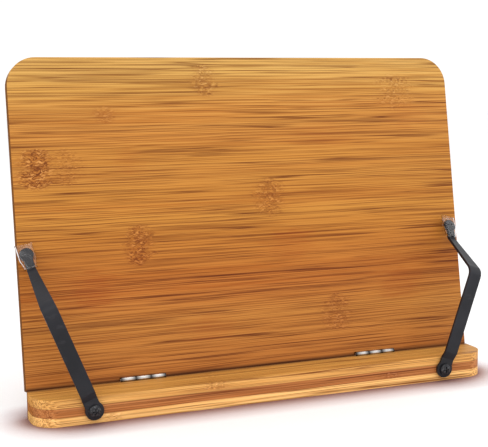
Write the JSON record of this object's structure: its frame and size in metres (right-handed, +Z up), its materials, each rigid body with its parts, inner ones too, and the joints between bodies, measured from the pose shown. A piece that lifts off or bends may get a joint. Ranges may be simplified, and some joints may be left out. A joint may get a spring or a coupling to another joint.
{
  "type": "folding book stand",
  "caption": "Folding bamboo book and album stand: leaning board hinged to a thick front ledge, adjustable back leg on a scalloped base, and swinging steel page arms.",
  "frame": {"origin": "centre of the ledge's underside, on the surface the stand rests on", "axes": "+X along the ledge to the stand's right as seen from the front, +Y to the back, +Z up"},
  "size_m": [0.3427, 0.2571, 0.2374],
  "materials": {
    "bamboo_board": "satin varnish, grain along X",
    "bamboo_ledge": "satin varnish, three plies of bamboo with a darker middle ply",
    "bamboo_frame": "satin varnish",
    "dowel_wood": "plain",
    "hinge_steel": "bright nickel plate",
    "pin_steel": "bright",
    "screw_steel": "bright zinc plate",
    "arm_steel": "satin black",
    "arm_screw_steel": "black",
    "washer_plastic": "matt black nylon",
    "clear_sleeve": "clear soft vinyl"
  },
  "bodies": {
    "base": {"ledge": "bamboo_ledge", "left_rail": "bamboo_frame", "right_rail": "bamboo_frame", "rear_rail": "bamboo_frame", "rail_dowels": "dowel_wood", "rear_rail_screws": "screw_steel", "left_crease_ledge_leaf": "hinge_steel", "right_crease_ledge_leaf": "hinge_steel", "left_crease_pin": "pin_steel", "right_crease_pin": "pin_steel", "crease_ledge_screws": "screw_steel", "left_arm_screw": "arm_screw_steel", "right_arm_screw": "arm_screw_steel", "left_arm_washer": "washer_plastic", "right_arm_washer": "washer_plastic"},
    "board": {"board": "bamboo_board", "left_crease_board_leaf": "hinge_steel", "right_crease_board_leaf": "hinge_steel", "crease_board_screws": "screw_steel", "left_leg_board_leaf": "hinge_steel", "right_leg_board_leaf": "hinge_steel", "leg_board_screws": "screw_steel", "left_leg_pin": "pin_steel", "right_leg_pin": "pin_steel"},
    "leg": {"leg": "bamboo_frame", "foot_rod": "pin_steel", "left_leg_leaf": "hinge_steel", "right_leg_leaf": "hinge_steel", "leg_leaf_screws": "screw_steel"},
    "left_arm": {"left_arm": "arm_steel", "left_tip_sleeve": "clear_sleeve"},
    "right_arm": {"right_arm": "arm_steel", "right_tip_sleeve": "clear_sleeve"}
  },
  "joints": [
    {"name": "board_tilt", "type": "hinge", "parent": "base", "child": "board", "pos_m": [0, 0.014, 0.0188], "axis": [-1, 0, 0], "range_deg": [0, 32]},
    {"name": "leg_swing", "type": "hinge", "parent": "board", "child": "leg", "pos_m": [0, 0.04529, 0.13006], "axis": [1, 0, 0], "range_deg": [0, 54]},
    {"name": "left_arm_swing", "type": "hinge", "parent": "base", "child": "left_arm", "pos_m": [-0.132, -0.01575, 0.009], "axis": [0, -1, 0], "range_deg": [-34, 66]},
    {"name": "right_arm_swing", "type": "hinge", "parent": "base", "child": "right_arm", "pos_m": [0.132, -0.01575, 0.009], "axis": [0, 1, 0], "range_deg": [-30, 69]}
  ],
  "couplings": [
    {"joint": "leg_swing", "follows": "board_tilt", "ratio": 1.6844}
  ]
}
